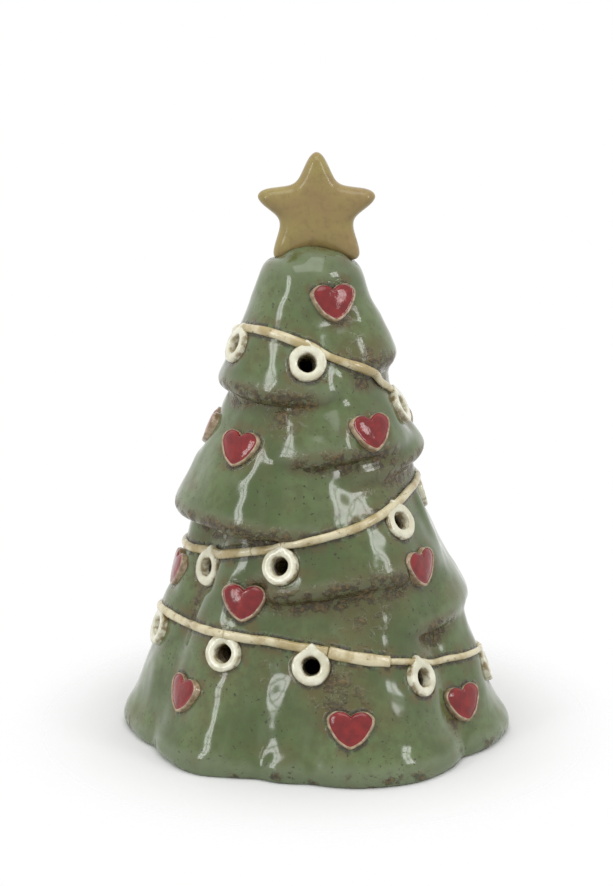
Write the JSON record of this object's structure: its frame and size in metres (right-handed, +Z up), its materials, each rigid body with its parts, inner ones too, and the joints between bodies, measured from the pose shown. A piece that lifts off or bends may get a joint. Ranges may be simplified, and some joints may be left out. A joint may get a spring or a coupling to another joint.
{
  "type": "ceramic christmas tree",
  "caption": "Hollow glazed ceramic tree with tiered boughs, garlands of clay coils, pierced light rings, hearts and a star, open at the foot to stand over a small light.",
  "frame": {"origin": "on the foot's resting plane, on the axis of the hollow", "axes": "+Z up to the star, -Y to the front, +X to the viewer's right"},
  "size_m": [0.1327, 0.1286, 0.2037],
  "materials": {
    "green_glaze": "glossy speckled glaze",
    "star_glaze": "glossy tan glaze",
    "garland_glaze": "satin gold and cream glaze",
    "ring_glaze": "glossy cream glaze",
    "heart_glaze": "glossy deep red glaze"
  },
  "bodies": {
    "root": {"lower_garland_coil_1": "garland_glaze", "lower_garland_coil_2": "garland_glaze", "lower_garland_coil_3": "garland_glaze", "lower_garland_coil_4": "garland_glaze", "lower_garland_coil_5": "garland_glaze", "lower_heart_1": "heart_glaze", "lower_heart_2": "heart_glaze", "lower_heart_3": "heart_glaze", "lower_heart_4": "heart_glaze", "lower_heart_5": "heart_glaze", "lower_heart_6": "heart_glaze", "lower_heart_7": "heart_glaze", "lower_light_ring_1": "ring_glaze", "lower_light_ring_2": "ring_glaze", "lower_light_ring_3": "ring_glaze", "lower_light_ring_4": "ring_glaze", "lower_light_ring_5": "ring_glaze", "lower_light_ring_6": "ring_glaze", "lower_light_ring_7": "ring_glaze", "lower_light_ring_8": "ring_glaze", "lower_light_ring_9": "ring_glaze", "middle_garland_coil_1": "garland_glaze", "middle_garland_coil_2": "garland_glaze", "middle_garland_coil_3": "garland_glaze", "middle_garland_coil_4": "garland_glaze", "middle_heart_1": "heart_glaze", "middle_heart_2": "heart_glaze", "middle_heart_3": "heart_glaze", "middle_heart_4": "heart_glaze", "middle_heart_5": "heart_glaze", "middle_heart_6": "heart_glaze", "middle_light_ring_1": "ring_glaze", "middle_light_ring_2": "ring_glaze", "middle_light_ring_3": "ring_glaze", "middle_light_ring_4": "ring_glaze", "middle_light_ring_5": "ring_glaze", "middle_light_ring_6": "ring_glaze", "middle_light_ring_7": "ring_glaze", "star": "star_glaze", "top_heart_1": "heart_glaze", "top_heart_2": "heart_glaze", "tree_body": "green_glaze", "upper_garland_coil_1": "garland_glaze", "upper_garland_coil_2": "garland_glaze", "upper_garland_coil_3": "garland_glaze", "upper_heart_1": "heart_glaze", "upper_heart_2": "heart_glaze", "upper_heart_3": "heart_glaze", "upper_heart_4": "heart_glaze", "upper_heart_5": "heart_glaze", "upper_light_ring_1": "ring_glaze", "upper_light_ring_2": "ring_glaze", "upper_light_ring_3": "ring_glaze", "upper_light_ring_4": "ring_glaze", "upper_light_ring_5": "ring_glaze"}
  },
  "joints": []
}
